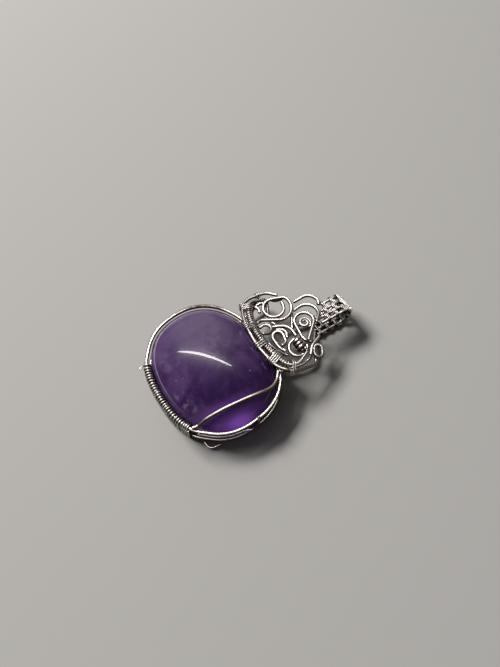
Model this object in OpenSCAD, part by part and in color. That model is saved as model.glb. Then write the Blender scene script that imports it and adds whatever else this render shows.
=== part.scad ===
// Pendant: a domed oval stone held by bent wires, with a crown of scrolled wire
// over its top edge and a woven loop that a chain passes through.
// Millimetres. The origin is the middle of the stone's flat back. +Y runs from the
// stone to the chain loop, +X across the pendant, +Z out of the stone's domed face.

/* [Stone] */
// Width of the stone, across the pendant
stone_w = 29.4; // [28:0.2:29.4]
// Length of the stone, along the pendant
stone_l = 24; // [23:0.2:24]
// Thickness of the stone
stone_t = 9.4; // [8.8:0.1:9.4]
// Height of the upright edge below the dome
edge_h = 4.6; // [4:0.1:4.6]

/* [Wire] */
// Thickness of the heavy wire
wire_d = 0.8; // [0.6:0.05:0.8]
// Thickness of the wire that runs half way up the stone's edge
mid_wire_d = 0.6; // [0.4:0.05:0.6]
// Thickness of the fine winding wire
fine_d = 0.3; // [0.2:0.05:0.3]
// Thickness of the wire wound round the frame and the band
coil_d = 0.4; // [0.3:0.05:0.4]

/* [Frame] */
// Height of the upper frame wire
front_z = 5.0; // [4.8:0.1:5]
// Height of the middle frame wire
middle_z = 2.9; // [2.6:0.1:3.2]
// Height of the lower frame wire
back_z = 0.8; // [0.8:0.1:1.2]

/* [Chain loop] */
// Width of the woven strip
loop_w = 4.8; // [4:0.1:4.8]
// Thickness of the woven strip
loop_t = 1.3; // [1:0.1:1.3]
// Clear height inside the loop
loop_gap = 4.1; // [4.1:0.1:4.4]

/* [Hidden] */
$fn = 48;

gap = 0.05;
wire_r = wire_d / 2;
mid_r = mid_wire_d / 2;
fine_r = fine_d / 2;
silver = "silver";

// Outline of the stone and of the wires round it
outline_turn = 7;
outline_power = 2.3;
outline_lobe = 0.2;
outline_lobe_at = 65;
stone_steps = 48;

// Dome of the stone
dome_power_in = 2.2;
dome_power_up = 1.25;
dome_steps = 9;

function unit(v) = v / norm(v);

function mix(a, b, f) = a + (b - a) * f;

// Radius at an angle, for an outline that is this far across each way
function outline_r(a, w, l) =
    let (t = a - outline_turn, p = outline_power)
    pow(pow(abs(cos(t)) * 2 / w, p) + pow(abs(sin(t)) * 2 / l, p), -1 / p)
        + outline_lobe * cos(3 * (a - outline_lobe_at));

// A point of the stone's own outline, moved out by grow
function outline_at(a, grow, z) =
    let (r = outline_r(a, stone_w + 2 * grow, stone_l + 2 * grow)) [r * cos(a), r * sin(a), z];

// How far out a point lies, from 0 in the middle of the stone to 1 at its edge
function share_out(x, y) = min(1, norm([x, y]) / outline_r(atan2(y, x), stone_w, stone_l));

// Height of the dome over a point
function dome_z(x, y) =
    edge_h + (stone_t - edge_h) * pow(1 - pow(share_out(x, y), dome_power_in), 1 / dome_power_up);

// Path of a wire bent round pegs. A peg is [x, y, z, radius]: the wire turns left round
// a positive radius, right round a negative one, and runs straight from peg to peg.
// The first and last pegs are the wire's ends, with radius 0.
function leave_angle(p, q) =
    let (d = [q[0] - p[0], q[1] - p[1]]) atan2(d[1], d[0]) - asin((q[3] - p[3]) / norm(d));

function wrap_360(a) = a - 360 * floor(a / 360);

function peg_arc(p, a_in, a_out, step) =
    let (turn = p[3] > 0 ? wrap_360(a_out - a_in) : -wrap_360(a_in - a_out),
         n = max(2, ceil(abs(turn) / step)))
    [for (i = [0:n]) let (a = a_in + turn * i / n)
        [p[0] + p[3] * sin(a), p[1] - p[3] * cos(a)]];

function peg_arcs(pegs, step) =
    let (out = [for (i = [0:len(pegs) - 2]) leave_angle(pegs[i], pegs[i + 1])])
    [for (i = [1:len(pegs) - 2]) peg_arc(pegs[i], out[i - 1], out[i], step)];

function flat_path(pegs, arcs) =
    [[pegs[0][0], pegs[0][1]], each [for (a = arcs) each a],
     [pegs[len(pegs) - 1][0], pegs[len(pegs) - 1][1]]];

function running_length(p, i = 0, total = 0, found = []) =
    i == len(p) ? found
    : let (t = i == 0 ? 0 : total + norm(p[i] - p[i - 1]))
      running_length(p, i + 1, t, concat(found, [t]));

function count_before(arcs, i) = i == 0 ? 1 : count_before(arcs, i - 1) + len(arcs[i - 1]);

function peg_path(pegs, step = 20) =
    let (arcs = peg_arcs(pegs, step),
         flat = flat_path(pegs, arcs),
         s = running_length(flat),
         middle = [for (i = [0:len(arcs) - 1])
             let (k = count_before(arcs, i)) [(s[k] + s[k + len(arcs[i]) - 1]) / 2, pegs[i + 1][2]]],
         heights = [[0, pegs[0][2]], each middle, [s[len(s) - 1], pegs[len(pegs) - 1][2]]])
    [for (i = [0:len(flat) - 1]) if (i == 0 || s[i] - s[i - 1] > 0.02)
        [flat[i][0], flat[i][1], lookup(s[i], heights)]];

// A path with more points, no further apart than far
function finer(path, far) =
    [for (i = [0:len(path) - 2])
        let (n = ceil(norm(path[i + 1] - path[i]) / far))
        each [for (k = [0:n - 1]) mix(path[i], path[i + 1], k / n)],
     path[len(path) - 1]];

// The point of a path that lies nearest to p
function nearest(path, p) =
    let (d = [for (q = path) norm(q - p)], least = min(d))
    [for (i = [0:len(path) - 1]) if (d[i] == least) path[i]][0];

// Path of a flat spiral, from radius r0 to r1 over turn degrees
function spiral_path(centre, r0, r1, from, turn, rise = 0, step = 20) =
    let (n = ceil(abs(turn) / step))
    [for (i = [0:n]) let (f = i / n, a = from + turn * f, r = mix(r0, r1, f))
        centre + [r * cos(a), r * sin(a), rise * f]];

// Direction of a path at point i
function heading_at(p, i) = unit(p[min(i + 1, len(p) - 1)] - p[max(i - 1, 0)]);

// Triangles of a skin over rings of points, one ring after another, and its two ends
function skin(rings, sides) =
    [for (k = [0:rings - 2], j = [0:sides - 1])
        let (a = k * sides + j, b = k * sides + (j + 1) % sides)
        each [[a, b, b + sides], [a, b + sides, a + sides]]];

function ends(rings, sides) =
    [[for (j = [sides - 1:-1:0]) j], [for (j = [0:sides - 1]) (rings - 1) * sides + j]];

// A round wire along a path. radii holds one radius, or one for each point.
module wire(path, radii, sides = 6, up = [0, 0, 1]) {
    points = [for (i = [0:len(path) - 1])
        let (t = heading_at(path, i), n = unit(cross(up, t)), b = cross(t, n),
             r = is_list(radii) ? radii[i] : radii)
        each [for (j = [0:sides - 1])
            path[i] + r * (cos(360 * j / sides) * n - sin(360 * j / sides) * b)]];
    polyhedron(points, concat(skin(len(path), sides), ends(len(path), sides)));
}

// A winding drawn as one flat band round two wires that lie side by side at p and q and
// run along heading. The band's middle passes this far from the middle of each wire.
module wrap(p, q, heading, reach_p, reach_q, wide) {
    side = unit(q - p);
    up = cross(heading, side);
    half_steps = 6;
    loop = [for (i = [0:half_steps]) let (a = 90 + 180 * i / half_steps) [p, a, reach_p],
            for (i = [0:half_steps]) let (a = 270 + 180 * i / half_steps) [q, a, reach_q]];
    n = len(loop);
    corners = [[-1, -1], [1, -1], [1, 1], [-1, 1]];
    points = [for (l = loop, c = corners)
        let (out = cos(l[1]) * side + sin(l[1]) * up)
        l[0] + (l[2] + c[1] * fine_r) * out + c[0] * wide / 2 * heading];
    faces = [for (k = [0:n - 1], j = [0:3])
        let (a = k * 4 + j, b = k * 4 + (j + 1) % 4, d = 4 * ((k + 1) % n) - 4 * k)
        each [[a, a + d, b + d], [a, b + d, b]]];
    polyhedron(points, faces);
}

// Stone: a flat back, an upright edge that swells a little, and a dome
edge_rows = [
    // share of the outline, height
    [0.93, 0],
    [0.975, 0.5],
    [0.995, 1.6],
    [1, 3.0],
    [1, edge_h],
];

module stone() {
    dome = [for (i = [1:dome_steps - 1]) let (a = 90 * i / dome_steps)
        [pow(cos(a), 2 / dome_power_in), edge_h + (stone_t - edge_h) * pow(sin(a), 2 / dome_power_up)]];
    rows = concat(edge_rows, dome);
    n = len(rows);
    points = concat(
        [for (r = rows, i = [0:stone_steps - 1])
            let (p = outline_at(360 * i / stone_steps, 0, 0)) [p[0] * r[0], p[1] * r[0], r[1]]],
        [[0, 0, stone_t]]);
    top = [for (i = [0:stone_steps - 1])
        [(n - 1) * stone_steps + i, n * stone_steps, (n - 1) * stone_steps + (i + 1) % stone_steps]];
    walls = [for (f = skin(n, stone_steps)) [f[0], f[2], f[1]]];
    color("indigo") polyhedron(points, concat(walls, top, [[for (i = [0:stone_steps - 1]) i]]));
}

// Frame: three wires round the stone's edge
frame_steps = 60;
coil_from = 237;
coil_to = 313;
frame_gap = 0.1;
coil_gap = 0.5;
gap_change = 15;

// The wires stand off the stone by frame_gap, and by coil_gap where the winding passes
// between them and the stone. The gap changes over gap_change degrees at each end.
function stand_off(a) =
    let (t = wrap_360(a), past = max(coil_from - t, t - coil_to, 0))
    mix(coil_gap, frame_gap, smooth(min(1, past / gap_change)));

function smooth(f) = f * f * (3 - 2 * f);

function frame_at(a, z, out = 0) = outline_at(a, wire_r + stand_off(a) + out, z);

function frame_path(from, to, z, steps) =
    [for (i = [0:steps]) frame_at(mix(from, to, i / steps), z)];

module frame_ring(z) {
    path = frame_path(0, 360 - 360 / frame_steps, z, frame_steps - 1);
    n = len(path);
    sides = 6;
    points = [for (i = [0:n - 1])
        let (t = unit(path[(i + 1) % n] - path[(i + n - 1) % n]), side = cross([0, 0, 1], t))
        each [for (j = [0:sides - 1])
            path[i] + wire_r * (cos(360 * j / sides) * side - sin(360 * j / sides) * [0, 0, 1])]];
    faces = [for (k = [0:n - 1], j = [0:sides - 1])
        let (a = k * sides + j, b = k * sides + (j + 1) % sides, d = sides * ((k + 1) % n) - sides * k)
        each [[a, b, b + d], [a, b + d, a + d]]];
    color(silver) polyhedron(points, faces);
}

module frame_front_wire() frame_ring(front_z);

module frame_back_wire() frame_ring(back_z);

// The middle wire leaves the winding, follows the edge and hooks up over the upper wire
middle_from = -42;
middle_to = -5;
middle_steps = 8;
hook_rows = [
    // angle, distance out from the frame, height
    [-1, 0.35, middle_z],
    [2, 0.75, 3.1],
    [4.5, 0.95, 3.9],
    [6, 0.95, 4.9],
    [7.5, 0.6, 5.75],
    [9, 0, 6.05],
];

module frame_middle_wire() {
    path = concat(frame_path(middle_from, middle_to, middle_z, middle_steps),
                  [for (h = hook_rows) frame_at(h[0], h[2], h[1])]);
    color(silver) wire(path, mid_r, up = [1, 0, 0]);
}

// Winding round the upper and lower wires along the lower left edge, as one hollow sleeve
sleeve_sections = 16;
sleeve_arc_steps = 6;
sleeve_gap = 0.03;
sleeve_in = (wire_r + sleeve_gap) / cos(90 / sleeve_arc_steps);
sleeve_out = sleeve_in + coil_d;

function sleeve_loop(a, r) =
    let (p = frame_at(a, 0), q = frame_at(a + 1, 0),
         t = unit(q - p), side = cross(t, [0, 0, 1]))
    [for (i = [0:sleeve_arc_steps]) let (b = 180 * i / sleeve_arc_steps)
        p + side * r * cos(b) + [0, 0, front_z + r * sin(b)],
     for (i = [0:sleeve_arc_steps]) let (b = 180 + 180 * i / sleeve_arc_steps)
        p + side * r * cos(b) + [0, 0, back_z + r * sin(b)]];

module frame_coil() {
    m = 2 * (sleeve_arc_steps + 1);
    n = sleeve_sections + 1;
    angles = [for (i = [0:sleeve_sections]) mix(coil_from, coil_to, i / sleeve_sections)];
    outer = [for (a = angles) each sleeve_loop(a, sleeve_out)];
    inner = [for (a = angles) each sleeve_loop(a, sleeve_in)];
    inner_skin = [for (f = skin(n, m)) [f[0] + n * m, f[2] + n * m, f[1] + n * m]];
    rim = [for (j = [0:m - 1]) let (b = (j + 1) % m)
        each [[j, n * m + j, n * m + b], [j, n * m + b, b]]];
    last = (n - 1) * m;
    end_rim = [for (f = rim) [for (i = [2, 1, 0]) f[i] + last]];
    color(silver) polyhedron(concat(outer, inner), concat(skin(n, m), inner_skin, rim, end_rim));
}

// Curled end of the winding wire
coil_tail_pegs = [[-7.65, -12.9, 5.0, 0], [-7.55, -13.45, 5.0, 0.28], [-7.3, -13.15, 5.0, 0]];

module coil_tail() {
    color(silver) wire(peg_path(coil_tail_pegs, 45), fine_r, 5);
}

// Small loose curl below the stone's edge
curl_r = 0.2;
lower_curl_pegs = [[12.2, -9.2, 0.6, 0], [12.85, -7.75, 0.5, 1.4], [14.35, -6.5, 0.6, 0]];

module lower_curl() {
    color(silver) wire(peg_path(lower_curl_pegs, 25), curl_r, 5);
}

// Bare wire that sweeps over the face from the winding's end to the crown
prong_pegs = [[9.95, -10.2, 0, 0], [8.9, -9.4, 0, 1.2], [16, -7.2, 0, -6], [6.0, 6.5, 0, 5.1],
              [8.25, 11.15, 0, 0]];

prong_spacing = 0.9;

// Height at which a wire's middle clears both the upper frame wire and the stone's face,
// which is felt under the wire's inner side because the face slopes
function over_face(x, y) =
    let (in = max(0, 1 - wire_r / norm([x, y])))
    max(front_z + wire_d, dome_z(x * in, y * in) + wire_r) + gap;

module prong_wire() {
    path = [for (p = finer(peg_path(prong_pegs, 12), prong_spacing))
        [p[0], p[1], over_face(p[0], p[1])]];
    color(silver) wire(path, wire_r);
}

// Crown: wires bent round pegs, each peg [x, y, z, radius]
border_pegs = [[-7.8, 21.1, 5.3, 0], [-7.15, 18.05, 5.2, 2.7], [-6.05, 15.55, 5.9, 4.0],
               [0.6, 29.3, 7.85, 19.25], [5.4, 15.85, 6.65, 5.1], [8.35, 18.5, 3.7, 2.2],
               [7.7, 22.1, 3.8, -0.85], [9.0, 21.3, 4.3, -0.85], [8.2, 20.5, 4.8, 0]];
band_pegs = [[-8.4, 18.2, 4.9, 0], [-6.85, 15.4, 5.8, 2.15], [0.35, 29.4, 7.1, 17.85],
             [6.5, 15.5, 6.35, 2.7], [7.9, 18.8, 5.9, 0]];
// The s-shaped scroll starts with a full turn, the open ring at the crown's left side
s_scroll_pegs = [[-5.6, 20.95, 5.5, 0], [-5.2, 18.6, 5.5, -2.35], [-5.2, 21.1, 5.5, -1.5],
                 [-4.9, 19.3, 5.5, -3.3], [-2.1, 14.2, 5.95, 1.6], [-3.5, 13.4, 6.15, 0]];
link_pegs = [[-7.45, 15.15, 5.6, 0], [-6.6, 14.6, 5.6, -0.95], [-5.75, 15.3, 5.6, 0]];
small_scroll_pegs = [[-0.7, 12.95, 6.0, 0], [-1.6, 14.25, 5.4, 1.3], [-2.0, 14.4, 4.95, 0.92],
                     [-2.75, 13.45, 4.9, 0]];
long_arc_pegs = [[-1.65, 16.1, 4.5, 0], [1.8, 16.1, 5.1, -3.05], [3.3, 19.05, 5.6, 0]];
inner_arc_pegs = [[-0.35, 16.3, 4.8, 0], [1.1, 16.6, 4.8, -1.3], [2.35, 17.35, 4.8, 0]];
oval_scroll_pegs = [[5.1, 15.2, 5.2, 0], [2.9, 17.4, 5.2, -2.95], [1.45, 15.55, 5.7, -1.2],
                    [2.95, 15.4, 6.0, -1.0], [3.9, 15.0, 6.2, 0]];
loop_scroll_pegs = [[3.4, 18.7, 4.7, 0], [5.6, 18.1, 4.7, 2.0], [6.2, 20.2, 4.9, 0]];
swirl_pegs = [[5.85, 20.5, 6.6, 0], [1.25, 22.5, 5.8, 2.15], [4.3, 22.0, 5.7, 2.0], [6.2, 21.15, 5.5, 0]];
upper_arc_pegs = [[-2.65, 22.5, 4.7, 0], [0.0, 23.9, 5.6, -2.75], [3.1, 24.55, 6.6, 0]];
shoulder_arc_pegs = [[-4.15, 23.45, 5.5, 0], [-1.75, 25.6, 5.9, -2.4], [-1.6, 27.0, 6.1, -1.1],
                     [-0.5, 27.6, 6.1, 0]];
cross_wire_pegs = [[6.2, 23.2, 6.0, 0], [9.0, 21.4, 6.4, 1.85], [8.85, 19.1, 6.1, 0]];
brace_left_pegs = [[-7.75, 11.3, 1.4, 0], [-8.2, 17.4, 2.0, -1.3], [-4.2, 20.3, 2.0, 2.9],
                   [0.3, 24.9, 0.75, 0]];
brace_right_pegs = [[7.35, 12.55, 1.4, 0], [3.5, 18.0, 2.0, 5], [3.1, 24.9, 0.75, 0]];
strut_ends = [[-2.4, 21.7, 4.5], [0.9, 19.7, 4.5]];

module bent(pegs, step = 20) {
    color(silver) wire(peg_path(pegs, step), wire_r);
}

module border_wire() bent(border_pegs, 18);

// The band's inner wire is wound closely between these shares of its length
wound_from = 0.24;
wound_to = 0.8;
wound_r = wire_r + coil_d - gap;

module band_wire() {
    path = peg_path(band_pegs, 5);
    s = running_length(path);
    total = s[len(s) - 1];
    radii = [for (l = s) l / total > wound_from && l / total < wound_to ? wound_r : wire_r];
    color(silver) wire(path, radii);
}

// Cross wraps that tie the border wire and the band wire together
band_wraps = [
    // place as a share of the border wire's length, width, slack round the wires
    [0.21, 1.0, 0.12],
    [0.33, 1.0, 0.08],
    [0.435, 1.0, 0.08],
    [0.53, 1.4, 0.08],
    [0.635, 0.9, 0.16],
];

function along(path, share) =
    let (s = running_length(path), target = share * s[len(s) - 1],
         i = max([for (k = [0:len(s) - 2]) if (s[k] <= target) k]))
    mix(path[i], path[i + 1], (target - s[i]) / (s[i + 1] - s[i]));

module band_wrap(i) {
    w = band_wraps[i];
    border = peg_path(border_pegs, 18);
    p = along(border, w[0]);
    q = nearest(finer(peg_path(band_pegs, 5), 0.05), p);
    side = unit(q - p);
    ahead = along(border, w[0] + 0.01) - along(border, w[0] - 0.01);
    heading = unit(ahead - (ahead * side) * side);
    color(silver) wrap(p, q, heading, wire_r + fine_r + w[2], wound_r + fine_r + w[2], w[1]);
}

module band_wrap_1() band_wrap(0);
module band_wrap_2() band_wrap(1);
module band_wrap_3() band_wrap(2);
module band_wrap_4() band_wrap(3);
module band_wrap_5() band_wrap(4);

// A few turns round the border wire where it starts its bend over the ring
corner_wrap_at = 0.1;
corner_wrap_long = 0.8;

module corner_wrap() {
    border = peg_path(border_pegs, 18);
    p = along(border, corner_wrap_at);
    t = unit(along(border, corner_wrap_at + 0.01) - p);
    r_in = wire_r + gap;
    color(silver) translate(p) rotate([0, acos(t[2]), atan2(t[1], t[0])]) difference() {
        cylinder(corner_wrap_long, r = r_in + fine_d, center = true, $fn = 16);
        cylinder(corner_wrap_long + 1, r = r_in, center = true, $fn = 16);
    }
}

module s_scroll() bent(s_scroll_pegs);
module link_wire() bent(link_pegs);
module small_scroll() bent(small_scroll_pegs);
module long_arc() bent(long_arc_pegs);
module inner_arc() bent(inner_arc_pegs);
module oval_scroll() bent(oval_scroll_pegs);
module loop_scroll() bent(loop_scroll_pegs);
module strut() color(silver) wire(strut_ends, wire_r);
module swirl() bent(swirl_pegs);
module upper_arc() bent(upper_arc_pegs);
module shoulder_arc() bent(shoulder_arc_pegs);
module cross_wire() bent(cross_wire_pegs);
module brace_left() bent(brace_left_pegs);
module brace_right() bent(brace_right_pegs);

// Three turns of heavy wire that lie in the loop scroll, their axis along X
bead_centre = [5.8, 18.2, 6.3];
bead_r = 0.75;
bead_pitch = 0.85;
bead_turns = 3;
bead_steps = 10;

module coil_bead() {
    n = bead_turns * bead_steps;
    path = [for (i = [0:n]) let (a = 360 * bead_turns * i / n)
        bead_centre + [bead_pitch * bead_turns * (i / n - 0.5), bead_r * cos(a), bead_r * sin(a)]];
    color(silver) wire(path, wire_r, 6, [1, 0, 0]);
}

// Spiral inside the swirl, its inner end raised over its middle (angles in degrees)
centre_at = [1.7, 22.35, 5.7];
centre_wire_r = 0.3;
centre_r_out = 1.42;
centre_r_in = 0.35;
centre_from = 20;
centre_turn = 560;
centre_rise = 0.5;

module swirl_centre() {
    path = spiral_path(centre_at, centre_r_out, centre_r_in, centre_from, centre_turn, centre_rise, 24);
    color(silver) wire(path, centre_wire_r);
}

// Chain loop: a woven strip that leaves the crown in front, folds over and comes back behind
loop_x = 1.75;
loop_front_z = 6.15;
loop_fold_y = 31;
loop_back_y = 25.2;
loop_in = loop_gap / 2;
loop_out = loop_in + loop_t;
loop_mid_z = loop_front_z - loop_in - loop_t / 2;
// The front layer ends along a slanted line between these two lengths
base_left_y = 28.4;
base_right_y = 25.4;
base_cut = 6;

module bail() {
    base_slope = atan2(base_left_y - base_right_y, loop_w);
    color(silver) translate([loop_x - loop_w / 2, 0, loop_mid_z]) difference() {
        rotate([90, 0, 90]) linear_extrude(loop_w) difference() {
            union() {
                translate([loop_fold_y, 0]) circle(loop_out);
                translate([loop_back_y, -loop_out]) square([loop_fold_y - loop_back_y, loop_out * 2]);
            }
            translate([loop_fold_y, 0]) circle(loop_in);
            translate([loop_back_y - 1, -loop_in]) square([loop_fold_y - loop_back_y + 1, loop_gap]);
        }
        translate([0, base_left_y, 0]) rotate(-base_slope)
            translate([-base_cut, -base_cut, 0]) cube([3 * base_cut, base_cut, loop_out + 1]);
    }
}

stone();
frame_front_wire();
frame_middle_wire();
frame_back_wire();
frame_coil();
coil_tail();
lower_curl();
prong_wire();
border_wire();
band_wire();
band_wrap_1();
band_wrap_2();
band_wrap_3();
band_wrap_4();
band_wrap_5();
corner_wrap();
s_scroll();
link_wire();
small_scroll();
long_arc();
inner_arc();
oval_scroll();
loop_scroll();
coil_bead();
strut();
swirl();
swirl_centre();
upper_arc();
shoulder_arc();
cross_wire();
brace_left();
brace_right();
bail();
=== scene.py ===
import bpy
import numpy as np
from mathutils import Matrix


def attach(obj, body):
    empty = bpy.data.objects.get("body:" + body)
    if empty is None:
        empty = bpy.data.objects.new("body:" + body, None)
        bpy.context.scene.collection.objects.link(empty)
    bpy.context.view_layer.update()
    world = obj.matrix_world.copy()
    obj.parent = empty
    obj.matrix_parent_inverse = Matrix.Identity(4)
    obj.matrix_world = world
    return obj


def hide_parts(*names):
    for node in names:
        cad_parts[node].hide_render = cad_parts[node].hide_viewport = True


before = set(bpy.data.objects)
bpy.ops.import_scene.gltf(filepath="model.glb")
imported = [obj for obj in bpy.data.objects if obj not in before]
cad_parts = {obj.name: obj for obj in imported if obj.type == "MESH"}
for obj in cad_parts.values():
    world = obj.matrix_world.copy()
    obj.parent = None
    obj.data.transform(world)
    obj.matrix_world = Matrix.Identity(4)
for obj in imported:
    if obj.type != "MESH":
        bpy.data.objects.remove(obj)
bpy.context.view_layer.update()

# Stone
# One piece of polished violet fluorite: a flat ground back, an upright edge and a low dome.
# A thin pale line is painted where the bevel of the edge meets the dome: a painted highlight,
# brightest on the lamp's side, with a few painted glints.
stone_wide = 29.4
stone_long = 24.0
stone_thick = 9.4
edge_high = 4.6
outline_turn = np.radians(7)
outline_power = 2.3
lobe_high = 0.2
lobe_at = np.radians(65)
dome_power = 0.72
stone_columns = 224
# Sizes are in millimetres, unless a comment says metres, and a mesh's points are times mm
mm = 0.001
stone_dark = (0.030, 0.009, 0.066, 1)
stone_violet = (0.090, 0.045, 0.138, 1)
# Pale of the feathers, also used as a painted sheen on the lamp's side
stone_pale_and_sheen = (0.125, 0.085, 0.165, 1)
# Painted glow where the lamp's light would leave the stone, in colour and as emission
painted_glow_violet = (0.250, 0.080, 0.500, 1)
# Frost of the veils and pin-points, also the colour of the painted highlight line on the bevel
stone_frost_and_highlight = (0.420, 0.340, 0.480, 1)
# The painted glow's brightest core
painted_glow_bright = (0.420, 0.150, 0.850, 1)
stone_ior = 1.43
# Strength of the painted glow's emission
painted_glow_strength = 0.20
# Noise in the stone, in cells a metre, and the reach of a pin-point as a share of its cell
cloud_grain = 190.0
feather_grain = 230.0
wisp_grain = 620.0
speck_grain = 300.0
speck_reach = 0.035
# Soft patches of painted light in the stone, a pale sheen on the lamp's side and a glow where
# its light would leave the stone, each its centre and its reach along x, y, z in metres
painted_sheen_side = ((-0.009, 0.001, 0.006), (0.018, 0.016, 0.014))
painted_glow_side = ((0.0125, -0.0025, 0.0035), (0.0065, 0.0125, 0.0085))
painted_glow_spot = ((0.0142, -0.0012, 0.0048), (0.0030, 0.0042, 0.0030))
# The painted highlight line along the bevel: its place and half width as shares of the way out,
# where it is brightest (on the lamp's side), its least light, what is added there, and how far
# round that reaches
bevel_share = 0.935
bevel_line_wide = 0.006
bevel_bright_at = np.radians(200)
bevel_least = 0.08
bevel_added = 0.5
bevel_spill = 0.25
bevel_glints = [
    # painted glints on that line: degrees round the stone, half width in degrees, strength
    (29, 5.0, 0.9),
    (9, 2.0, 0.6),
]
veils = [
    # place and reach in metres, strength
    ((0.0023, -0.0093, 0.0070), (0.0022, 0.0015, 0.0022), 0.30),
    ((0.0057, -0.0088, 0.0069), (0.0032, 0.0019, 0.0024), 0.26),
    ((-0.0040, -0.0085, 0.0072), (0.0040, 0.0040, 0.0030), 0.08),
    ((-0.0034, 0.0022, 0.0090), (0.0080, 0.0050, 0.0030), 0.07),
]


def unit(vectors):
    """Vectors divided by their own lengths."""
    return vectors / np.linalg.norm(vectors, axis=-1, keepdims=True)


def outline_radius(angle, grow):
    """Radius of the stone's outline at an angle: a superellipse of power 2.3, turned by
    7 degrees and moved out by grow, plus a lobe that rises three times round."""
    turned = angle - outline_turn
    across = (np.abs(np.cos(turned)) * 2 / (stone_wide + 2 * grow)) ** outline_power
    along = (np.abs(np.sin(turned)) * 2 / (stone_long + 2 * grow)) ** outline_power
    return (across + along) ** (-1 / outline_power) + lobe_high * np.cos(3 * (angle - lobe_at))


def dome_height(share):
    """Height of the dome at a share of the way out: the edge's height plus
    (1 - share^2)^0.72 of the rise above it."""
    return edge_high + (stone_thick - edge_high) * np.clip(1 - share**2, 0, 1) ** dome_power


def ring_radius(angle, share):
    """Radius of the dome's ring at a share of the way out: near the middle a plain
    ellipse, towards the edge more and more the outline itself."""
    across = (np.cos(angle - outline_turn) * 2 / stone_wide) ** 2
    along = (np.sin(angle - outline_turn) * 2 / stone_long) ** 2
    ellipse = (across + along) ** -0.5
    edge_part = share**3
    return share * (edge_part * outline_radius(angle, 0) + (1 - edge_part) * ellipse)


def stone_grid():
    """Points of the stone, one ring for each row, with each point's share of the way out
    from the middle: the flat back and the edge first, and then the dome."""
    angle = np.linspace(0, 2 * np.pi, stone_columns, endpoint=False)
    edge_share = np.array([0.3, 0.8, 0.915, 0.93, 0.945, 0.965, 0.98, 0.99, 0.995, 0.998, 1, 1])
    edge_height = np.array([0, 0, 0, 0.04, 0.15, 0.35, 0.65, 1.1, 1.7, 2.4, 3.2, 4.1])
    dome_share = np.concatenate([np.linspace(1, 0.86, 70), np.linspace(0.85, 0.004, 60)])
    share = np.concatenate([edge_share, dome_share])
    height = np.concatenate([edge_height, dome_height(dome_share)])
    is_dome = np.arange(len(share)) >= len(edge_share)
    on_edge = outline_radius(angle, 0) * share[:, None]
    radius = np.where(is_dome[:, None], ring_radius(angle, share[:, None]), on_edge)
    lift = np.broadcast_to(height[:, None], radius.shape)
    points = np.stack([radius * np.cos(angle), radius * np.sin(angle), lift], -1)
    return points, np.broadcast_to(share[:, None], radius.shape)


def grid_faces(rows, columns, first, closed):
    """Faces over a grid of points whose rows are closed rings. Closed joins the last row
    to the first, and otherwise both end rows are closed by one face each."""
    index = first + np.arange(rows * columns).reshape(rows, columns)
    beside = np.roll(index, -1, axis=1)
    if closed:
        quads = np.stack([index, beside, np.roll(beside, -1, axis=0), np.roll(index, -1, axis=0)], -1)
        return quads.reshape(-1, 4).tolist()
    quads = np.stack([index[:-1], beside[:-1], beside[1:], index[1:]], -1)
    return quads.reshape(-1, 4).tolist() + [index[0, ::-1].tolist(), index[-1].tolist()]


def grid_piece(name, grids, closed=False):
    """One object whose mesh is the given grids of points, in millimetres."""
    faces = []
    first = 0
    for grid in grids:
        faces += grid_faces(grid.shape[0], grid.shape[1], first, closed)
        first += grid.shape[0] * grid.shape[1]
    points = np.concatenate([grid.reshape(-1, 3) for grid in grids]) * mm
    mesh = bpy.data.meshes.new(name)
    mesh.from_pydata(points, [], faces)
    mesh.shade_smooth()
    mesh.update()
    piece = bpy.data.objects.new(name, mesh)
    bpy.context.scene.collection.objects.link(piece)
    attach(piece, "root")
    return piece


def point_values(piece, name, values):
    """Stores one number for each point of a piece, for its material to read."""
    store = piece.data.attributes.new(name, "FLOAT", "POINT")
    store.data.foreach_set("value", np.ascontiguousarray(values, dtype=np.float32).ravel())


def place(tree, kind, inputs, **settings):
    """A node of this kind in the tree, its settings made and its inputs set or linked."""
    made = tree.nodes.new(kind)
    for name, value in settings.items():
        setattr(made, name, value)
    for name, value in inputs.items():
        if isinstance(value, bpy.types.NodeSocket):
            tree.links.new(value, made.inputs[name])
        else:
            made.inputs[name].default_value = value
    return made


def blend_colour(tree, share, first, second):
    """Mix of two colours by a share, each a socket or a plain colour."""
    mix = place(tree, "ShaderNodeMix", {0: share, 6: first, 7: second}, data_type="RGBA")
    return mix.outputs[2]


def spread(tree, value, low, high, top=1.0):
    """A value stretched so that low gives 0 and high gives top, and kept between them."""
    made = place(tree, "ShaderNodeMapRange", {0: value, 1: low, 2: high, 3: 0.0, 4: top},
                 interpolation_type="SMOOTHSTEP")
    return made.outputs[0]


def patch(tree, coordinates, centre, reach):
    """A soft round patch on a piece: 1 at the centre, 0 from its reach along each axis."""
    local = place(tree, "ShaderNodeMapping", {"Vector": coordinates, "Location": centre,
                                              "Scale": reach}, vector_type="TEXTURE")
    return place(tree, "ShaderNodeTexGradient", {"Vector": local.outputs[0]},
                 gradient_type="SPHERICAL").outputs[1]


def new_material(name):
    """An empty node material with its Principled shader."""
    material = bpy.data.materials.new(name)
    material.use_nodes = True
    return material, material.node_tree, material.node_tree.nodes["Principled BSDF"]


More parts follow.
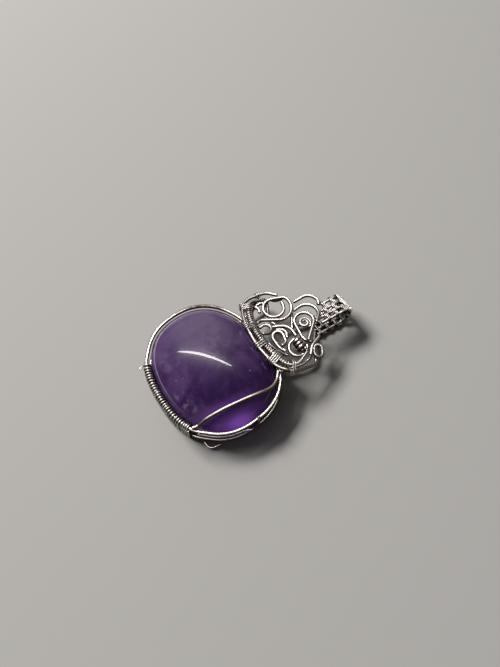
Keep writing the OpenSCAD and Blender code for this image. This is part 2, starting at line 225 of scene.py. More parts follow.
def violet_stone():
    """Dark violet with a painted glow, in colour and as emission, on the side where the lamp's light
    would leave the stone, a painted pale sheen on the lamp's side, cloudy feathers, a few
    pin-point inclusions and a painted highlight line along the bevel."""
    material, tree, shader = new_material("violet_stone")
    spot = place(tree, "ShaderNodeTexCoord", {}).outputs["Object"]
    cloud = place(tree, "ShaderNodeTexNoise", {"Vector": spot, "Scale": cloud_grain, "Detail": 5.0,
                                               "Roughness": 0.62, "Distortion": 0.4})
    stretched = place(tree, "ShaderNodeMapping", {"Vector": spot, "Rotation": (0.4, 0.2, 0.6),
                                                  "Scale": (1.0, 3.4, 1.6)}).outputs[0]
    feather = place(tree, "ShaderNodeTexNoise", {"Vector": stretched, "Scale": feather_grain,
                                                 "Detail": 7.0, "Roughness": 0.7, "Distortion": 0.5})
    wisp = place(tree, "ShaderNodeTexNoise", {"Vector": spot, "Scale": wisp_grain, "Detail": 4.0,
                                              "Roughness": 0.55, "Distortion": 0.15})
    speck = place(tree, "ShaderNodeTexVoronoi", {"Vector": spot, "Scale": speck_grain})
    # A painted pale sheen on the lamp's side, and a painted glow where its light would leave
    pale = patch(tree, spot, *painted_sheen_side)
    glow = patch(tree, spot, *painted_glow_side)
    glow_core = patch(tree, spot, *painted_glow_spot)
    # The painted highlight line along the bevel, stored on the stone's points
    rim = place(tree, "ShaderNodeAttribute", {}, attribute_name="bevel_highlight").outputs["Fac"]
    body = blend_colour(tree, spread(tree, cloud.outputs[0], 0.35, 0.72), stone_dark, stone_violet)
    # Painted sheen on the lamp's side and painted glow over the cloudy body
    body = blend_colour(tree, spread(tree, pale, 0.0, 0.9, 0.5), body, stone_pale_and_sheen)
    body = blend_colour(tree, spread(tree, glow, 0.05, 0.75), body, painted_glow_violet)
    body = blend_colour(tree, spread(tree, feather.outputs[0], 0.6, 0.8, 0.35), body, stone_pale_and_sheen)
    for centre, reach, strength in veils:
        torn = place(tree, "ShaderNodeMath", {0: spread(tree, wisp.outputs[0], 0.40, 0.66),
                                              1: patch(tree, spot, centre, reach)}, operation="MULTIPLY")
        body = blend_colour(tree, spread(tree, torn.outputs[0], 0.0, 0.6, strength), body, stone_frost_and_highlight)
    # The painted glow's bright core
    body = blend_colour(tree, spread(tree, glow_core, 0.0, 0.9), body, painted_glow_bright)
    pins = place(tree, "ShaderNodeMath", {0: speck_reach, 1: speck.outputs["Distance"]},
                 operation="GREATER_THAN")
    body = blend_colour(tree, pins.outputs[0], body, stone_frost_and_highlight)
    # The painted highlight line along the bevel
    body = blend_colour(tree, rim, body, stone_frost_and_highlight)
    tree.links.new(body, shader.inputs["Base Color"])
    # The painted glow also shines as emission, though the stone is no lamp
    lit = place(tree, "ShaderNodeMath", {0: glow, 1: 0.6, 2: glow_core}, operation="MULTIPLY_ADD")
    light = blend_colour(tree, spread(tree, lit.outputs[0], 0.1, 1.4), (0, 0, 0, 1), painted_glow_bright)
    tree.links.new(light, shader.inputs["Emission Color"])
    shader.inputs["Emission Strength"].default_value = painted_glow_strength
    shader.inputs["Roughness"].default_value = 0.24
    shader.inputs["IOR"].default_value = stone_ior
    shader.inputs["Coat Weight"].default_value = 1.0
    shader.inputs["Coat Roughness"].default_value = 0.025
    shader.inputs["Coat IOR"].default_value = stone_ior
    shader.inputs["Subsurface Weight"].default_value = 0.15
    shader.inputs["Subsurface Radius"].default_value = (1.0, 0.5, 1.4)
    shader.inputs["Subsurface Scale"].default_value = 0.0012
    return material


stone_points, stone_share = stone_grid()
stone = grid_piece("polished_stone", [stone_points])
# A painted highlight where the bevel meets the dome, brighter towards the lamp, with painted glints
on_dome = stone_points[:, :, 2] > edge_high
bevel_highlight = np.exp(-(((stone_share - bevel_share) / bevel_line_wide) ** 2)) * on_dome
around = np.arctan2(stone_points[:, :, 1], stone_points[:, :, 0])
bevel_facing = np.clip(np.cos(around - bevel_bright_at) + bevel_spill, 0, 1)
bevel_light = bevel_least + bevel_added * bevel_facing
for degrees, half_wide, strength in bevel_glints:
    bevel_light += strength * np.exp(-(((np.degrees(around) - degrees) / half_wide) ** 2))
point_values(stone, "bevel_highlight", bevel_light * bevel_highlight)
stone.data.materials.append(violet_stone())
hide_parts("stone")

# Frame wires
# Two closed rings of heavy silver wire lie one above the other against the stone's edge.
# They are drawn wire, soldered shut, darkened with sulphur and then rubbed bright.
wire_r = 0.4
wire_sides = 14
frame_points = 480
front_z = 5.0
back_z = 0.8
frame_gap = 0.1
coil_gap = 0.5
# The winding reaches from one angle to the other, and the gap widens over the third, in degrees
coil_from = 237
coil_to = 313
gap_change = 15
# A filed end stands out by a share of the wire's radius, in rings that close at these angles
filed_share = 0.6
filed_angles = np.radians([78, 52, 26])
# Metal, and the dark that serves for its tarnish and for painted shade on the wires' sides, of
# the heavy and of the fine wire, and their stains in cells a metre
heavy_bright = (0.86, 0.79, 0.75, 1)
heavy_dark = (0.095, 0.052, 0.042, 1)
heavy_stain = 700.0
heavy_polish = 0.24
fine_bright = (0.94, 0.87, 0.83, 1)
fine_dark = (0.050, 0.028, 0.022, 1)
fine_stain = 1100.0
fine_polish = 0.30
# Range over which the stains shift the tarnish and painted shade, where they start and are
# full, and their roughness
stain_depth = 0.9
tarnish_and_shade_starts = 0.25
tarnish_and_shade_full = 0.85
tarnish_and_shade_rough = 0.55
# Fine scratches in cells a metre, with their bump's strength and its depth in metres
scratch_grain = 5200.0
scratch_strength = 0.25
scratch_deep = 0.00002
# How a wire is darkened: tarnish on its crest, painted shade down its sides, tarnish where
# others crowd it, how much crowding a cloth still gets past, and tarnish between the turns of a
# winding
plain_tarnish_and_shade_mix = (0.12, 0.80, 0.16, 0.0, 0.0)
silver_pieces = []


def wire_rings(path, radius, sides=wire_sides, up=(0, 0, 1), closed=False):
    """Rings of points round a path: at each point of the path a circle, square to the
    path's direction. Open wires are closed by three smaller rings at each filed end."""
    if closed:
        ahead = unit(np.roll(path, -1, axis=0) - np.roll(path, 1, axis=0))
    else:
        ahead = unit(np.gradient(path, axis=0))
    up = np.broadcast_to(np.asarray(up, float), path.shape)
    radius = np.full(len(path), float(radius))
    if not closed:
        back = filed_share * radius[0] * np.sin(filed_angles)[:, None]
        path = np.concatenate([path[0] - back * ahead[0], path, path[-1] + back[::-1] * ahead[-1]])
        end_radius = radius[0] * np.cos(filed_angles)
        radius = np.concatenate([end_radius, radius, end_radius[::-1]])
        ahead = np.concatenate([ahead[[0, 0, 0]], ahead, ahead[[-1, -1, -1]]])
        up = np.concatenate([up[[0, 0, 0]], up, up[[-1, -1, -1]]])
    side = unit(np.cross(up, ahead))
    over = np.cross(ahead, side)
    turn = np.linspace(0, 2 * np.pi, sides, endpoint=False)[None, :, None]
    spokes = np.cos(turn) * side[:, None] + np.sin(turn) * over[:, None]
    return path[:, None] + radius[:, None, None] * spokes


def tarnished_silver_group():
    """Colour, roughness and height of darkened silver: the mask of tarnish and painted shade,
    broken up by noise, mixes bright metal with the brown-black that a cloth leaves in the
    hollows, which also serves as painted shade on the wires' sides."""
    tree = bpy.data.node_groups.new("tarnished_silver", "ShaderNodeTree")
    sockets = [("Bright", "INPUT", "NodeSocketColor"), ("Dark", "INPUT", "NodeSocketColor"),
               ("Tarnish_and_shade", "INPUT", "NodeSocketFloat"), ("Grain", "INPUT", "NodeSocketFloat"),
               ("Polish", "INPUT", "NodeSocketFloat"), ("Spot", "INPUT", "NodeSocketVector"),
               ("Colour", "OUTPUT", "NodeSocketColor"), ("Roughness", "OUTPUT", "NodeSocketFloat"),
               ("Height", "OUTPUT", "NodeSocketFloat")]
    for name, way, kind in sockets:
        tree.interface.new_socket(name, in_out=way, socket_type=kind)
    given = tree.nodes.new("NodeGroupInput").outputs
    stain = place(tree, "ShaderNodeTexNoise", {"Vector": given["Spot"], "Scale": given["Grain"],
                                               "Detail": 5.0, "Roughness": 0.65})
    scratch = place(tree, "ShaderNodeTexNoise", {"Vector": given["Spot"], "Scale": scratch_grain,
                                                 "Detail": 3.0})
    broken = place(tree, "ShaderNodeMath", {0: stain.outputs[0], 1: stain_depth, 2: -stain_depth / 2},
                   operation="MULTIPLY_ADD")
    amount = place(tree, "ShaderNodeMath", {0: given["Tarnish_and_shade"], 1: broken.outputs[0]}, operation="ADD")
    share = spread(tree, amount.outputs[0], tarnish_and_shade_starts, tarnish_and_shade_full)
    made = tree.nodes.new("NodeGroupOutput").inputs
    tree.links.new(blend_colour(tree, share, given["Bright"], given["Dark"]), made["Colour"])
    rough = place(tree, "ShaderNodeMapRange", {0: share, 3: given["Polish"], 4: tarnish_and_shade_rough})
    tree.links.new(rough.outputs[0], made["Roughness"])
    tree.links.new(scratch.outputs[0], made["Height"])
    return tree


silver_group = tarnished_silver_group()


def silver(name, bright, dark, grain, polish):
    """A silver finish made from the shared group, with its own colours, stain size and
    roughness where it is polished."""
    material, tree, shader = new_material(name)
    spot = place(tree, "ShaderNodeTexCoord", {}).outputs["Object"]
    # Tarnish and painted shade on the wire, from a point attribute
    mask = place(tree, "ShaderNodeAttribute", {}, attribute_name="tarnish_and_shade").outputs["Fac"]
    group = tree.nodes.new("ShaderNodeGroup")
    group.node_tree = silver_group
    group.inputs["Bright"].default_value = bright
    group.inputs["Dark"].default_value = dark
    group.inputs["Grain"].default_value = grain
    group.inputs["Polish"].default_value = polish
    tree.links.new(spot, group.inputs["Spot"])
    tree.links.new(mask, group.inputs["Tarnish_and_shade"])
    tree.links.new(group.outputs["Colour"], shader.inputs["Base Color"])
    tree.links.new(group.outputs["Roughness"], shader.inputs["Roughness"])
    bump = place(tree, "ShaderNodeBump", {"Height": group.outputs["Height"],
                                          "Strength": scratch_strength, "Distance": scratch_deep})
    tree.links.new(bump.outputs[0], shader.inputs["Normal"])
    shader.inputs["Metallic"].default_value = 1.0
    return material


heavy_silver = silver("heavy_wire", heavy_bright, heavy_dark, heavy_stain, heavy_polish)
fine_silver = silver("fine_wire", fine_bright, fine_dark, fine_stain, fine_polish)


def silver_piece(name, grids, stands_for, fine=False, closed=False, tarnish_and_shade_mix=plain_tarnish_and_shade_mix):
    """A piece of silver wire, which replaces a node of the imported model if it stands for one."""
    piece = grid_piece(name, grids, closed)
    piece.data.materials.append(fine_silver if fine else heavy_silver)
    if stands_for:
        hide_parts(stands_for)
    silver_pieces.append((piece, tarnish_and_shade_mix))


def smooth(share):
    """Eases a share in and out: its square times 3 less twice itself."""
    return share * share * (3 - 2 * share)


def frame_line(degrees, height, out=0.0):
    """Points beside the stone's edge at angles in degrees: the outline moved out by the
    wire's radius and by a gap, which widens where the winding passes inside the wire."""
    turned = np.asarray(degrees, float) % 360
    past = np.clip(np.maximum(coil_from - turned, turned - coil_to), 0, gap_change) / gap_change
    gap = coil_gap + (frame_gap - coil_gap) * smooth(past)
    angle = np.radians(degrees)
    radius = outline_radius(angle, wire_r + gap + out)
    height = np.broadcast_to(height, radius.shape)
    return np.stack([radius * np.cos(angle), radius * np.sin(angle), height], -1)


frame_degrees = np.linspace(0, 360, frame_points, endpoint=False)
# Heavier tarnish for the frame and for duller wires, with painted shade down the sides
frame_tarnish_and_shade_mix = (0.26, 0.80, 0.16, 0.0, 0.0)
dull_tarnish_and_shade_mix = (0.40, 0.80, 0.16, 0.0, 0.0)
for name, height in (("frame_front_wire", front_z), ("frame_back_wire", back_z)):
    rings = wire_rings(frame_line(frame_degrees, height), wire_r, closed=True)
    silver_piece(name.replace("frame", "round"), [rings], name, closed=True, tarnish_and_shade_mix=frame_tarnish_and_shade_mix)

# Middle wire
# A thinner wire leaves the winding, follows the stone's edge half way up and hooks over
# the upper wire. It is held at one end by the winding and at the other by its hook.
middle_r = 0.3
middle_z = 2.9
wire_spacing = 0.14
# Angles of the wire and of its hook in degrees, and how far out and how high the hook goes
middle_degrees = np.linspace(-42, -5, 12)
hook_degrees = np.array([-1, 2, 4.5, 6, 7.5, 9])
hook_out = np.array([0.35, 0.75, 0.95, 0.95, 0.6, 0])
hook_height = np.array([middle_z, 3.1, 3.9, 4.9, 5.75, 6.05])


def resample(path, spacing=wire_spacing):
    """The same path with evenly spaced points, eased by a short moving average that is
    weighted by a raised cosine."""
    run = np.concatenate([[0], np.cumsum(np.linalg.norm(np.diff(path, axis=0), axis=1))])
    even = np.linspace(0, run[-1], max(4, int(run[-1] / spacing)))
    fine = np.stack([np.interp(even, run, axis) for axis in path.T], -1)
    reach = min(4, (len(fine) - 1) // 3)
    window = np.hanning(2 * reach + 3)[1:-1]
    padded = np.concatenate([2 * fine[0] - fine[reach:0:-1], fine, 2 * fine[-1] - fine[-2:-2 - reach:-1]])
    return np.stack([np.convolve(axis, window / window.sum(), "valid") for axis in padded.T], -1)


middle_path = np.concatenate([frame_line(middle_degrees, middle_z),
                              frame_line(hook_degrees, hook_height, hook_out)])
silver_piece("round_middle_wire", [wire_rings(resample(middle_path), middle_r, up=(1, 0, 0))],
             "frame_middle_wire", tarnish_and_shade_mix=dull_tarnish_and_shade_mix)

# Winding of the frame
# One long fine wire is wound by hand round the upper and lower frame wires together, down
# the lower left edge. Its turns lie in uneven groups and end in a few tight ones.
coil_r = 0.235
coil_reach = 0.62
fine_sides = 7
steps_a_turn = 64
coil_turns = 29
# The tight group at the end: its turns, and its share of the winding's length
tight_turns = 4
tight_share = 0.10
# The turns gather every 3.1 turns and drift to and fro, by shares of a turn. The rates of
# the drift and of the slack are in radians a turn
group_every = 3.1
group_pull = 0.05
drift_rate = 0.9
drift_pull = 0.12
# Degrees left free at each end, and how far and how often a turn stands out a little
coil_margin = 1.2
coil_slack = 0.03
slack_rate = 2.7
# Tarnish and painted side shade of the winding
winding_tarnish_and_shade_mix = (0.02, 0.45, 0.25, 0.60, 0.50)


def stadium(share, half, reach):
    """A closed loop round two points that lie 2 half apart, at a reach from each, with
    share 0 to 1 once round. It gives how far out and how high each point lies."""
    straight = 2 * half
    bend_long = np.pi * reach
    total = 2 * (straight + bend_long)
    run = (share % 1) * total
    knots = [0, bend_long, bend_long + straight, 2 * bend_long + straight, total]
    over = np.interp(run, knots, [0, np.pi, np.pi, 2 * np.pi, 2 * np.pi])
    rise = np.interp(run, knots, [half, half, -half, -half, half])
    return reach * np.cos(over), rise + reach * np.sin(over)


def coil_places(turn):
    """Where a turn lies between the winding's ends, 0 to 1: even turns, drawn together
    in groups by one sine and to and fro by another, the last few close together."""
    loose = coil_turns - tight_turns
    gathered = group_pull * np.sin(2 * np.pi * turn / group_every)
    grouped = turn + gathered + drift_pull * np.sin(turn * drift_rate)
    early = np.clip(grouped, 0, loose) / loose * (1 - tight_share)
    return early + np.clip(turn - loose, 0, tight_turns) / tight_turns * tight_share


coil_count = np.linspace(0, coil_turns, coil_turns * steps_a_turn)
coil_span = coil_to - coil_from - 2 * coil_margin
coil_degrees = coil_from + coil_margin + coil_span * coil_places(coil_count)
coil_out, coil_rise = stadium(coil_count, (front_z - back_z) / 2, coil_reach)
coil_out = coil_out + coil_slack * np.sin(coil_count * slack_rate)
coil_centre = frame_line(coil_degrees, (front_z + back_z) / 2)
coil_ahead = unit(frame_line(coil_degrees + 0.5, 0) - frame_line(coil_degrees - 0.5, 0))
coil_side = np.cross(coil_ahead, (0, 0, 1))
coil_path = coil_centre + coil_side * coil_out[:, None] + coil_rise[:, None] * np.array([0, 0, 1])
silver_piece("frame_winding", [wire_rings(coil_path, coil_r, fine_sides, up=coil_ahead)],
             "frame_coil", fine=True, tarnish_and_shade_mix=winding_tarnish_and_shade_mix)

# Wire ends of the winding
# The winding's first end is left as a small curl on the left, and a thin wire ends in a
# loose curl under the stone's edge.
fine_r = 0.15
curl_r = 0.2
tail_spacing = 0.06
bend_steps = 40
# Pegs that a wire is bent round, each x, y, height, radius, with radius 0 at the wire's ends
tail_pegs = [(-7.65, -12.9, 5.0, 0), (-7.55, -13.45, 5.0, 0.28), (-7.3, -13.15, 5.0, 0)]
curl_pegs = [(12.2, -9.2, 0.6, 0), (12.85, -7.75, 0.5, 1.4), (14.35, -6.5, 0.6, 0)]


def bend(pegs, spacing=wire_spacing):
    """Path of a wire bent round pegs, each x, y, height, radius. The wire turns left round
    a positive radius, right round a negative one, and runs straight from peg to peg."""
    pegs = np.array(pegs, float)
    step = np.diff(pegs[:, :2], axis=0)
    away = np.hypot(step[:, 0], step[:, 1])
    heading = np.arctan2(step[:, 1], step[:, 0]) - np.arcsin(np.diff(pegs[:, 3]) / away)
    plan = [pegs[:1, :2]]
    for (x, y, _, radius), before, after in zip(pegs[1:-1], heading[:-1], heading[1:]):
        way = np.sign(radius)
        turn = way * ((way * (after - before)) % (2 * np.pi))
        angle = before + turn * np.linspace(0, 1, bend_steps)
        plan.append(np.stack([x + radius * np.sin(angle), y - radius * np.cos(angle)], -1))
    plan.append(pegs[-1:, :2])
    starts = np.cumsum([len(part) for part in plan])
    flat = np.concatenate(plan)
    run = np.concatenate([[0], np.cumsum(np.linalg.norm(np.diff(flat, axis=0), axis=1))])
    middles = [(run[a] + run[b - 1]) / 2 for a, b in zip(starts[:-2], starts[1:-1])]
    height = np.interp(run, [0, *middles, run[-1]], pegs[:, 2])
    return resample(np.column_stack([flat, height]), spacing)


tail_rings = wire_rings(bend(tail_pegs, tail_spacing), fine_r, fine_sides)
silver_piece("winding_tail", [tail_rings], "coil_tail", fine=True)
silver_piece("loose_curl", [wire_rings(bend(curl_pegs), curl_r)], "lower_curl", tarnish_and_shade_mix=dull_tarnish_and_shade_mix)

# Prong wire
# A bare heavy wire leaves the winding, sweeps over the right of the stone's face and goes
# under the crown, so that it presses the stone into the frame.
prong_pegs = [(9.95, -10.2, 0, 0), (8.9, -9.4, 0, 1.2), (16, -7.2, 0, -6), (6.0, 6.5, 0, 5.1),
              (8.25, 11.15, 0, 0)]
touch_gap = 0.05


def over_face(path):
    """Lifts a path so that the wire clears the upper frame wire and the dome, which is
    felt a wire's radius further in because the face slopes."""
    away = np.hypot(path[:, 0], path[:, 1])
    inner = np.clip(away - wire_r, 0, None)
    share = inner / outline_radius(np.arctan2(path[:, 1], path[:, 0]), 0)
    height = np.maximum(front_z + 2 * wire_r, dome_height(np.clip(share, 0, 1)) + wire_r) + touch_gap
    return np.column_stack([path[:, :2], height])


prong_path = resample(over_face(bend(prong_pegs)))
silver_piece("prong", [wire_rings(prong_path, wire_r)], "prong_wire", tarnish_and_shade_mix=dull_tarnish_and_shade_mix)

# Crown band
# Two heavy wires lie side by side over the stone's top edge. The inner one is wound close
# with fine wire, and cross windings of the same fine wire bind the two together.
border_pegs = [(-7.8, 21.1, 5.3, 0), (-7.15, 18.05, 5.2, 2.7), (-6.05, 15.55, 5.9, 4.0),
               (0.6, 29.3, 7.85, 19.25), (5.4, 15.85, 6.65, 5.1), (8.35, 18.5, 3.7, 2.2),
               (7.7, 22.1, 3.8, -0.85), (9.0, 21.3, 4.3, -0.85), (8.2, 20.5, 4.8, 0)]
band_pegs = [(-8.4, 18.2, 4.9, 0), (-6.85, 15.4, 5.8, 2.15), (0.35, 29.4, 7.1, 17.85),
             (6.5, 15.5, 6.35, 2.7), (7.9, 18.8, 5.9, 0)]
# The band wire's winding: its ends as shares of the wire's length, and how far it beds in
wound_from = 0.24
wound_to = 0.8
winding_pitch = 0.55
winding_r = 0.20
winding_seat = 0.03
helix_steps = 18
# The cross windings stand a little off the border wire and are square to it. Its direction
# is taken from a share of its length before each to the same share after it
cross_r = 0.17
cross_slack = 0.04
cross_steps = 40
share_step = 0.01
# Tarnish and painted side shade of the band's fine wire
band_tarnish_and_shade_mix = (0.0, 0.12, 0.20, 0.60, 0.60)
band_wraps = [
    # place as a share of the border wire's length, width, turns
    (0.21, 1.5, 3),
    (0.33, 1.5, 3),
    (0.435, 1.5, 3),
    (0.53, 1.9, 4),
    (0.635, 1.0, 2),
]
# The winding at the border's left corner: its middle and half its width as shares of the
# border wire's length, its pitch, and how far it stands off the wire
corner_wrap_at = 0.1
corner_wrap_half = 0.01
corner_pitch = 0.32
corner_slack = 0.02


def wound_round(path, reach, turns_from, turns_to, pitch):
    """A helix round a path between two shares of its length: out by reach, and round by
    one turn for each pitch that it goes along."""
    ahead = unit(np.gradient(path, axis=0))
    side = unit(np.cross((0, 0, 1), ahead))
    over = np.cross(ahead, side)
    run = np.concatenate([[0], np.cumsum(np.linalg.norm(np.diff(path, axis=0), axis=1))])
    start, stop = turns_from * run[-1], turns_to * run[-1]
    count = int((stop - start) / pitch * helix_steps)
    at = np.linspace(start, stop, count)

    def along(values):
        return np.stack([np.interp(at, run, axis) for axis in values.T], -1)

    turn = (2 * np.pi * (at - start) / pitch)[:, None]
    return along(path) + reach * (np.cos(turn) * along(side) + np.sin(turn) * along(over)), along(ahead)


def at_share(path, share):
    """The point of a path at a share of its length."""
    return path[int(round(share * (len(path) - 1)))]


def bound_pair(first, second, heading, reach_first, reach_second, wide, turns):
    """A fine wire wound round two wires that pass at first and second: half a circle over
    each, joined by straight runs, and moved along heading by its width."""
    side = unit(second - first)
    up = np.cross(heading, side)
    count = np.linspace(0, turns, turns * cross_steps)
    share = count % 1
    knots = [0, 0.32, 0.5, 0.82, 1]
    angle = np.interp(share, knots, np.radians([90, 270, 270, 450, 450]))
    on_first = np.interp(share, knots, [1, 1, 0, 0, 1])[:, None]
    centre = on_first * first + (1 - on_first) * second
    reach = on_first * reach_first + (1 - on_first) * reach_second
    out = np.cos(angle)[:, None] * side + np.sin(angle)[:, None] * up
    shift = (count / turns - 0.5)[:, None] * wide * heading
    return centre + reach * out + shift


border_path = bend(border_pegs)
band_path = bend(band_pegs)
silver_piece("border", [wire_rings(border_path, wire_r)], "border_wire")
band_helix, band_ahead = wound_round(band_path, wire_r + winding_r - winding_seat, wound_from,
                                     wound_to, winding_pitch)
silver_piece("wound_band", [wire_rings(band_path, wire_r)], "band_wire")
silver_piece("band_winding", [wire_rings(band_helix, winding_r, fine_sides, up=band_ahead)], None,
             fine=True, tarnish_and_shade_mix=band_tarnish_and_shade_mix)
border_reach = wire_r + cross_r + cross_slack
band_reach = wire_r + 2 * winding_r + cross_r
for number, (share, wide, turns) in enumerate(band_wraps, 1):
    at = at_share(border_path, share)
    beside = band_path[np.argmin(np.linalg.norm(band_path - at, axis=1))]
    run = at_share(border_path, share + share_step) - at_share(border_path, share - share_step)
    across = unit(beside - at)
    heading = unit(run - run.dot(across) * across)
    strand = bound_pair(at, beside, heading, border_reach, band_reach, wide, turns)
    silver_piece(f"cross_winding_{number}", [wire_rings(strand, cross_r, fine_sides, up=heading)],
                 f"band_wrap_{number}", fine=True, tarnish_and_shade_mix=band_tarnish_and_shade_mix)
corner_helix, corner_ahead = wound_round(border_path, wire_r + fine_r + corner_slack,
                                         corner_wrap_at - corner_wrap_half,
                                         corner_wrap_at + corner_wrap_half, corner_pitch)
silver_piece("corner_winding", [wire_rings(corner_helix, fine_r, fine_sides, up=corner_ahead)],
             "corner_wrap", fine=True, tarnish_and_shade_mix=band_tarnish_and_shade_mix)

# Scrolls of the crown
# Each scroll, arc and curl is one length of heavy wire bent with round pliers. They lie over
# and beside one another between the band and the chain loop, and touch where they cross. The
# s-shaped one starts with a full turn, the open ring at the crown's left side.
scrolls = {
    "s_scroll": [(-5.6, 20.95, 5.5, 0), (-5.2, 18.6, 5.5, -2.35), (-5.2, 21.1, 5.5, -1.5),
                 (-4.9, 19.3, 5.5, -3.3), (-2.1, 14.2, 5.95, 1.6), (-3.5, 13.4, 6.15, 0)],
    "link_wire": [(-7.45, 15.15, 5.6, 0), (-6.6, 14.6, 5.6, -0.95), (-5.75, 15.3, 5.6, 0)],
    "small_scroll": [(-0.7, 12.95, 6.0, 0), (-1.6, 14.25, 5.4, 1.3), (-2.0, 14.4, 4.95, 0.92),
                     (-2.75, 13.45, 4.9, 0)],
    "long_arc": [(-1.65, 16.1, 4.5, 0), (1.8, 16.1, 5.1, -3.05), (3.3, 19.05, 5.6, 0)],
    "inner_arc": [(-0.35, 16.3, 4.8, 0), (1.1, 16.6, 4.8, -1.3), (2.35, 17.35, 4.8, 0)],
    "oval_scroll": [(5.1, 15.2, 5.2, 0), (2.9, 17.4, 5.2, -2.95), (1.45, 15.55, 5.7, -1.2),
                    (2.95, 15.4, 6.0, -1.0), (3.9, 15.0, 6.2, 0)],
    "loop_scroll": [(3.4, 18.7, 4.7, 0), (5.6, 18.1, 4.7, 2.0), (6.2, 20.2, 4.9, 0)],
    "swirl": [(5.85, 20.5, 6.6, 0), (1.25, 22.5, 5.8, 2.15), (4.3, 22.0, 5.7, 2.0), (6.2, 21.15, 5.5, 0)],
    "upper_arc": [(-2.65, 22.5, 4.7, 0), (0.0, 23.9, 5.6, -2.75), (3.1, 24.55, 6.6, 0)],
    "shoulder_arc": [(-4.15, 23.45, 5.5, 0), (-1.75, 25.6, 5.9, -2.4), (-1.6, 27.0, 6.1, -1.1),
                     (-0.5, 27.6, 6.1, 0)],
    "cross_wire": [(6.2, 23.2, 6.0, 0), (9.0, 21.4, 6.4, 1.85), (8.85, 19.1, 6.1, 0)],
    "brace_left": [(-7.75, 11.3, 1.4, 0), (-8.2, 17.4, 2.0, -1.3), (-4.2, 20.3, 2.0, 2.9),
                   (0.3, 24.9, 0.75, 0)],
    "brace_right": [(7.35, 12.55, 1.4, 0), (3.5, 18.0, 2.0, 5), (3.1, 24.9, 0.75, 0)],
}
strut_ends = ((-2.4, 21.7, 4.5), (0.9, 19.7, 4.5))
strut_points = 24
for name, pegs in scrolls.items():
    silver_piece("bent_" + name, [wire_rings(bend(pegs), wire_r)], name)
strut_path = np.linspace(*strut_ends, strut_points)
silver_piece("bent_strut", [wire_rings(strut_path, wire_r)], "strut")

# Wire ends behind the ring
# Three ends of heavy wire are tucked up behind the band and the open ring, which hold them.
# The left one runs on along the band's inner side. No cloth reached them, so they stay dark.
# Tarnish and painted side shade of the tucked ends
tucked_tarnish_and_shade_mix = (0.50, 0.80, 0.16, 0.0, 0.0)
tucked_points = 40
tucked_ends = {
    # marks that the wire passes close to, each x, y, height
    "tucked_end_left": [(-9.35, 17.3, 4.35), (-8.9, 15.6, 4.15), (-7.6, 14.2, 4.2), (-5.6, 13.4, 4.0),
                        (-3.6, 13.25, 3.7), (-1.3, 13.2, 3.6), (1.2, 13.45, 3.6), (3.65, 14.25, 3.6),
                        (5.6, 15.6, 3.6)],
    "tucked_end_middle": [(-7.6, 18.3, 4.7), (-6.9, 18.0, 4.3), (-5.5, 17.3, 4.3), (-4.45, 16.75, 4.7)],
    "tucked_end_right": [(-6.9, 22.2, 4.5), (-7.05, 21.1, 4.2), (-7.45, 20.2, 4.2), (-8.1, 19.4, 4.6)],
}


def eased_line(marks):
    """The cubic of the share of the way that passes closest to the marks."""
    share = np.linspace(0, 1, len(marks))
    even = np.linspace(0, 1, tucked_points)
    return np.stack([np.polyval(np.polyfit(share, axis, 3), even) for axis in np.array(marks).T], -1)


for name, marks in tucked_ends.items():
    silver_piece(name, [wire_rings(eased_line(marks), wire_r)], None, tarnish_and_shade_mix=tucked_tarnish_and_shade_mix)

# Swirl centre and coil bead
# The swirl holds a spiral of thinner wire, wound by hand, and three turns of heavy wire lie
# in the loop scroll like a bead.
centre_at = np.array([1.7, 22.35, 5.7])
centre_wire_r = 0.3
centre_r_out = 1.42
centre_r_in = 0.35
centre_rise = 0.5
# Degrees at which the spiral starts, that it turns, and from one point to the next
centre_from = 20
centre_turn = 560
spiral_step = 3
bead_centre = np.array([5.8, 18.2, 6.3])
bead_r = 0.75
bead_pitch = 0.85
bead_turns = 3
bead_steps = 48


def spiral(centre, radius_from, radius_to, start, turn, rise):
    """A spiral that rises a little: its radius and its height change evenly with the angle."""
    share = np.linspace(0, 1, int(abs(turn) / spiral_step))
    angle = np.radians(start + turn * share)
    radius = radius_from + (radius_to - radius_from) * share
    return centre + np.stack([radius * np.cos(angle), radius * np.sin(angle), rise * share], -1)


centre_path = spiral(centre_at, centre_r_out, centre_r_in, centre_from, centre_turn, centre_rise)
silver_piece("inner_spiral", [wire_rings(centre_path, centre_wire_r)], "swirl_centre")
bead_share = np.linspace(0, 1, bead_turns * bead_steps)
bead_angle = 2 * np.pi * bead_turns * bead_share
bead_along = bead_pitch * bead_turns * (bead_share - 0.5)
bead_round = np.stack([bead_along, bead_r * np.cos(bead_angle), bead_r * np.sin(bead_angle)], -1)
bead_path = bead_centre + bead_round
silver_piece("coiled_bead", [wire_rings(bead_path, wire_r, up=(1, 0, 0))], "coil_bead")

# Chain loop
# Four wires are woven side by side with fine wire, which is wound twice round each pair of
# neighbours in turn, and the strip is folded back on itself so that a chain passes through.
loop_core_r = 0.35
core_points = 150
weave_r = 0.145
weave_steps = 44
loop_z = 3.45
fold_y = 31.0
fold_r = 2.7
loop_back_y = 25.2
# The slanting front end, where it meets the strip's left and right edge
base_left_y = 28.4
base_right_y = 25.4
loop_left_x = -0.65
loop_wide = 4.8
# Windings round a pair of cores: from one to the next, the first of each pair, and their turns
weave_pitch = 2.15
pair_places = (-2.5, -2.95, -3.65)
pair_turns = 2
pair_pitch = 0.34
front_margin = 0.35
back_margin = 0.4
# Windings round all the cores, two on the fold and one at the back end
wide_places = (1.35, 1.85)
wide_turns = 1.5
wide_pitch = 0.3
wide_margin = 0.5
